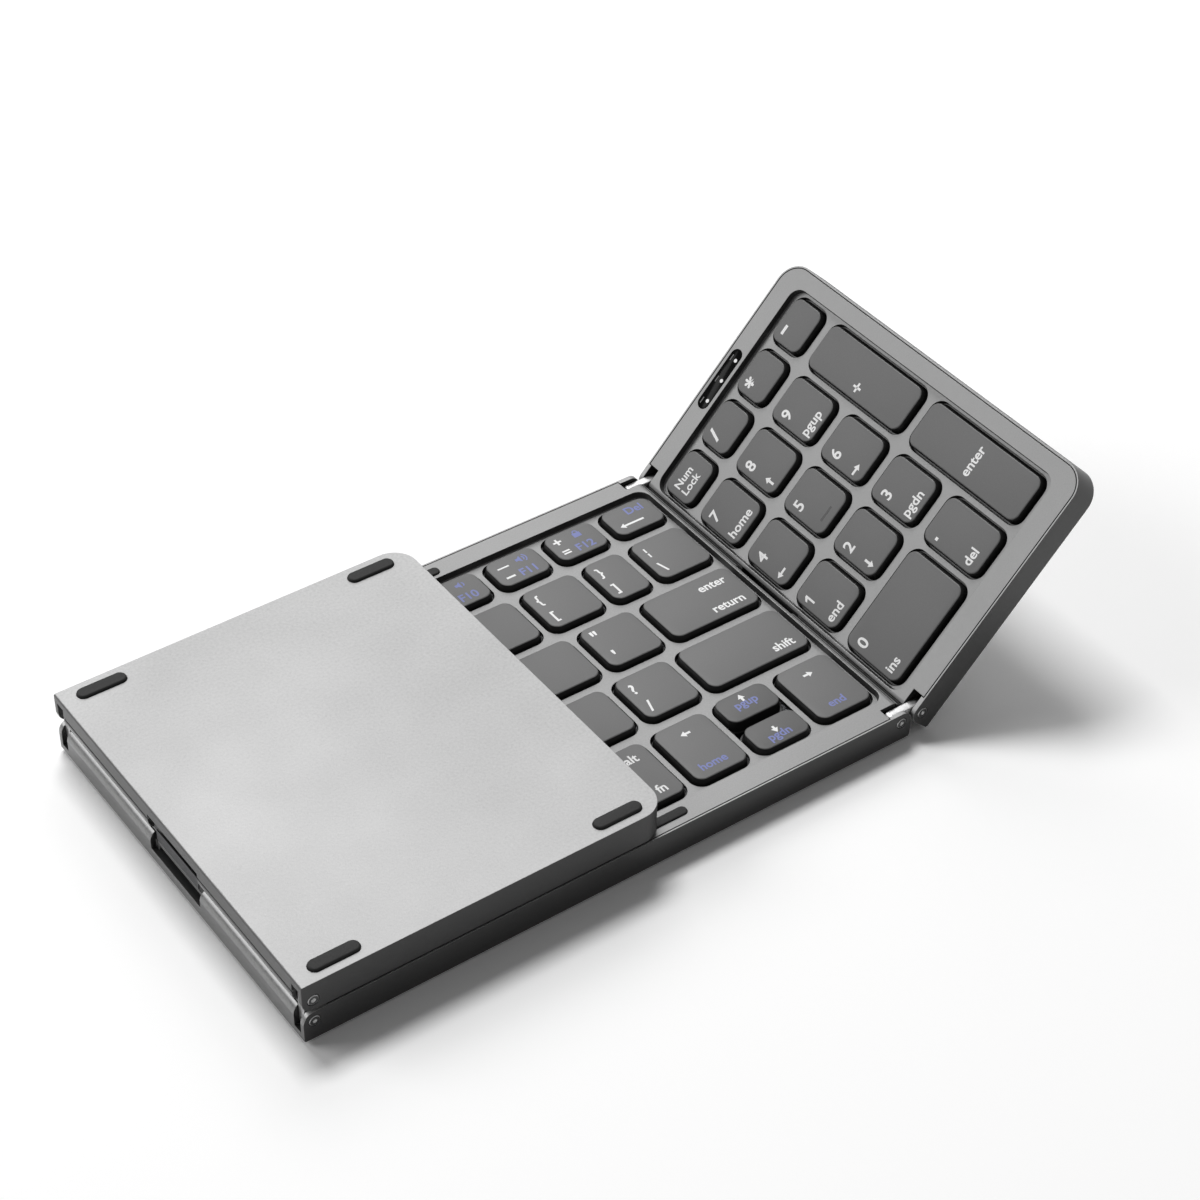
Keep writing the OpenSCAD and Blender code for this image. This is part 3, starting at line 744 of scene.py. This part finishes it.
def shell_shade_zone(panel):
    """Material index of a shell's faces: 0 on the two flat outer faces, 1 on the walls and on
    everything inside, drawn dark as painted shade, 2 on the flat part of a hinge edge, drawn
    darker than the backs as painted shade, 3 on its round."""
    far_x = math.inf
    if panel == "middle_panel":
        far_x = to_panel(joint_place("right_link_hinge"), panel)[0] - HINGE_X

    def zone(centre, normal):
        p = to_panel(centre, panel)
        n = normal @ PANEL[panel][:3, :3] / MM
        # Faces that look up or down, within 0.4 mm of the outside
        outer = (np.abs(n[:, 2]) > 0.75) & (np.abs(p[:, 2] - SHELL_T / 2) > SHELL_T / 2 - 0.4)
        hinge = (p[:, 0] < HINGE_X) & (n[:, 0] < -0.3)
        hinge |= (p[:, 0] > far_x) & (n[:, 0] > 0.3)
        rounded = hinge & (p[:, 2] > PIN_UP + 0.1)
        return np.select([rounded, outer, hinge], [3, 0, 2], 1)

    return zone


def field_shade_zone(panel):
    """Material index of a frame's faces: 0 on the flats, 1 on the leaning walls of the key
    field, which are drawn dark as painted shade."""

    def zone(centre, normal):
        n = normal @ PANEL[panel][:3, :3] / MM
        return np.where(np.abs(n[:, 2]) > 0.7, 0, 1)

    return zone


def pin_highlight_zone(centre, normal):
    """Material index of a pin's faces: 0 on the flat heads, 1 on the beveled edges, drawn bright as
    a painted highlight.
    """
    return np.where(np.abs(normal[:, 1]) > 0.97, 0, 1)


def hinge_bars(node, name):
    """Two bars with round ends: a pill in the plane of the swing, carried along the hinge line and
    rounded over by a quarter circle at both faces."""
    parts = []
    edge = quarter_round(0.3, 4)
    for (x0, y0, z0), (x1, y1, z1) in solid_boxes(node, "shared_frame"):
        r = min(x1 - x0, z1 - z0) / 2 - PILL_SLACK
        near = [(o, y0 + drop) for o, drop in edge]
        far = [(o, y1 - drop) for o, drop in edge[::-1]]
        points, faces, _ = swept(x0, z0, x1, z1, r, near + far)
        parts.append((points[:, [0, 2, 1]] * MM, faces, [0] * len(faces)))
    piece(node, name, parts, [NICKEL], SHARP_DEG)


def pads(node, name, panel, z_face, proud, deep, edge):
    """Rubber pads on the pill-shaped outlines of a node's solids: a rim rounded by a quarter
    circle of radius edge stands proud of the face, over a straight side that goes deep in it."""
    out = 1 if proud > 0 else -1
    top = z_face + proud
    profile = [(o, top - out * drop) for o, drop in quarter_round(edge, 5)]
    profile.append((0, z_face - out * deep))
    parts = []
    for (x0, y0, _), (x1, y1, _) in solid_boxes(node, panel):
        points, faces, _ = swept(x0, y0, x1, y1, (y1 - y0) / 2 - PILL_SLACK, profile)
        parts.append((to_frame(points, panel), faces, [0] * len(faces)))
    piece(node, name, parts, [RUBBER], SHARP_DEG)


for side in SIDES:
    panel = side + "_panel"
    # The walls, the inside and the hinge flats of each shell are drawn darker than its backs:
    # painted shade
    shell_finish_and_shade = [ALLOY, SHADED_WALL, HINGE_WALL[side], ROUND]
    beveled(side + "_bottom_shell", side + "_tray", shell_finish_and_shade, 0.12, shell_shade_zone(panel))
    beveled(side + "_top_frame", side + "_bezel", [FRAME, SHADED_FIELD_WALL], 0.10, field_shade_zone(panel))
    beveled(side + "_hinge_pins", side + "_pins", [SCREW_STEEL, PIN_EDGE_HIGHLIGHT], 0.2, pin_highlight_zone)
    pads(
        side + "_feet", side + "_rubber_feet", panel, z_face=0, proud=-0.8, deep=0.6, edge=0.55
    )
pads(
    "middle_bumpers", "middle_rubber_bumpers", "middle_panel",
    z_face=SHELL_T, proud=0.5, deep=0.4, edge=0.35,
)
hinge_bars("left_hinge_links", "left_bars")
hinge_bars("right_hinge_links", "right_bars")
beveled("usb_c_port", "usb_c_receptacle", [SOCKET], 0.05)

# Pieces inside the panels keep their solids and only get a finish
PLAIN = {
    "middle_switch_deck": DECK_STEEL, "left_switch_deck": DECK_STEEL,
    "right_switch_deck": DECK_STEEL, "controller_board": BOARD, "battery_cell": POUCH,
    "left_flex_strip": FLEX, "right_flex_strip": FLEX, "middle_screws": SCREW_STEEL,
    "left_screws": SCREW_STEEL, "right_screws": SCREW_STEEL,
}
for node, mat in PLAIN.items():
    data = frame["nodes"][node].data
    data.materials.clear()
    data.materials.append(mat)

# ---------------------------------------------------------------- indicator window

LAMPS_X = (27.65, 34.45, 41.25)  # middles of the lamp dots, mm from the pin
LAMP_R = 0.55
LAMP_Y = 1.1  # their middles, mm from the window's near edge
MARKS_X = (27.0, 34.2, 41.4)  # middles of the printed marks, likewise
MARKS_Y = 2.9
MARK_SIZE = (1.9, 0.35)
MARK_UP = 0.012  # middle of their print over the glass, mm

(wx0, wy0, _), (wx1, wy1, _) = solid_boxes("indicator_window", "right_panel")[0]
# Profiles of the glass and of a lamp dot: (offset, height from the panel's face)
GLASS = [(-0.15, 0), (-0.05, -0.04), (0, -0.15), (0, -0.8)]
DOT = [(-0.1, 0.03), (0, 0.02), (0, -0.1)]
window_parts = []


def on_window(points, faces, index):
    """Adds a part, given in panel millimetres from the panel's face, to the window."""
    points = to_frame(points + np.array((0, 0, SHELL_T)), "right_panel")
    window_parts.append((points, faces, [index] * len(faces)))


points, faces, _ = swept(wx0, wy0, wx1, wy1, (wy1 - wy0) / 2 - PILL_SLACK, GLASS)
on_window(points, faces, 0)
for x in LAMPS_X:
    y = wy0 + LAMP_Y
    corners = (x - LAMP_R, y - LAMP_R, x + LAMP_R, y + LAMP_R)
    points, faces, _ = swept(*corners, LAMP_R - PILL_SLACK, DOT)
    on_window(points, faces, 1)
for x in MARKS_X:
    points, faces = bar(*MARK_SIZE)
    on_window(points + np.array((x, wy0 + MARKS_Y, MARK_UP)), faces, 2)
lens_finish = [WINDOW, LAMP, MARK]
piece("indicator_window", "indicator_lens", window_parts, lens_finish, smooth_deg=40)

# ---------------------------------------------------------------- floor, light and camera

FLOOR_HALF = 4.0  # m
SOFTBOXES = (  # name, place and aim in metres, width and height in metres, watts
    ("top_softbox", (0.3, 1.25, 2.45), (0, 0, 0), (1.2, 0.7), 47),
    ("back_softbox", (1.2, 1.9, 1.6), (0, 0, 0), (1.8, 1.2), 15),
    ("left_softbox", (-1.65, 1.5, 1.3), (0, 0, 0.03), (1.4, 1.0), 20),
)
WORLD_STRENGTH = 0.18


def pale_table():
    """Matt white table top. Seen directly, mirrored or through something it is a little whiter
    than it lights the object."""
    mat = bpy.data.materials.new("pale_table")
    mat.use_nodes = True
    tree = mat.node_tree
    tree.nodes.clear()
    ray = add(tree, "ShaderNodeLightPath").outputs
    seen = add(
        tree, "ShaderNodeMath", {"operation": "ADD"},
        i_0=ray["Is Camera Ray"], i_1=ray["Is Glossy Ray"],
    )
    seen = add(
        tree, "ShaderNodeMath", {"operation": "ADD", "use_clamp": True},
        i_0=seen.outputs[0], i_1=ray["Is Transmission Ray"],
    )
    tone = add(tree, "ShaderNodeMapRange", Value=seen.outputs[0], To_Min=0.9, To_Max=1.08)
    paper = add(tree, "ShaderNodeBsdfDiffuse", Color=tone.outputs[0])
    add(tree, "ShaderNodeOutputMaterial", Surface=paper.outputs[0])
    return mat


def area_light(name, place, target, size, power):
    """A softbox that faces its target."""
    light = bpy.data.lights.new(name, "AREA")
    light.shape = "RECTANGLE"
    light.size, light.size_y = size
    light.energy = power
    obj = bpy.data.objects.new(name, light)
    obj.location = place
    aim = Vector(target) - Vector(place)
    obj.rotation_euler = aim.to_track_quat("-Z", "Y").to_euler()
    bpy.context.scene.collection.objects.link(obj)


s = FLOOR_HALF
mesh = bpy.data.meshes.new("floor")
mesh.from_pydata([(-s, -s, 0), (s, -s, 0), (s, s, 0), (-s, s, 0)], [], [(0, 1, 2, 3)])
put("floor", mesh, [pale_table()])

for softbox in SOFTBOXES:
    area_light(*softbox)

world = bpy.data.worlds.new("studio")
bpy.context.scene.world = world
world.use_nodes = True
background = world.node_tree.nodes["Background"]
background.inputs["Color"].default_value = (1, 1, 1, 1)
background.inputs["Strength"].default_value = WORLD_STRENGTH

# The camera: its place and its right, up and backward directions in the shared frame
CAMERA_PLACE = (-0.31621, -0.43205, 0.49221)
CAMERA_AXES = (
    (0.81415, -0.58043, 0.01598),
    (0.37667, 0.54889, 0.74621),
    (-0.44190, -0.60151, 0.66552),
)
FOCAL_PX, CENTRE_PX, IMAGE_PX = 2789.6, (584.8, 657.7), 1200
cam = bpy.data.cameras.new("camera")
cam.sensor_width = 36
cam.lens = FOCAL_PX / IMAGE_PX * cam.sensor_width
cam.shift_x = (IMAGE_PX / 2 - CENTRE_PX[0]) / IMAGE_PX
cam.shift_y = (CENTRE_PX[1] - IMAGE_PX / 2) / IMAGE_PX
cam.clip_start = 0.01
camera = bpy.data.objects.new("camera", cam)
turn = Matrix(CAMERA_AXES).transposed().to_4x4()
camera.matrix_world = Matrix.Translation(CAMERA_PLACE) @ turn
bpy.context.scene.collection.objects.link(camera)
bpy.context.scene.camera = camera
bpy.context.scene.view_settings.view_transform = "Standard"
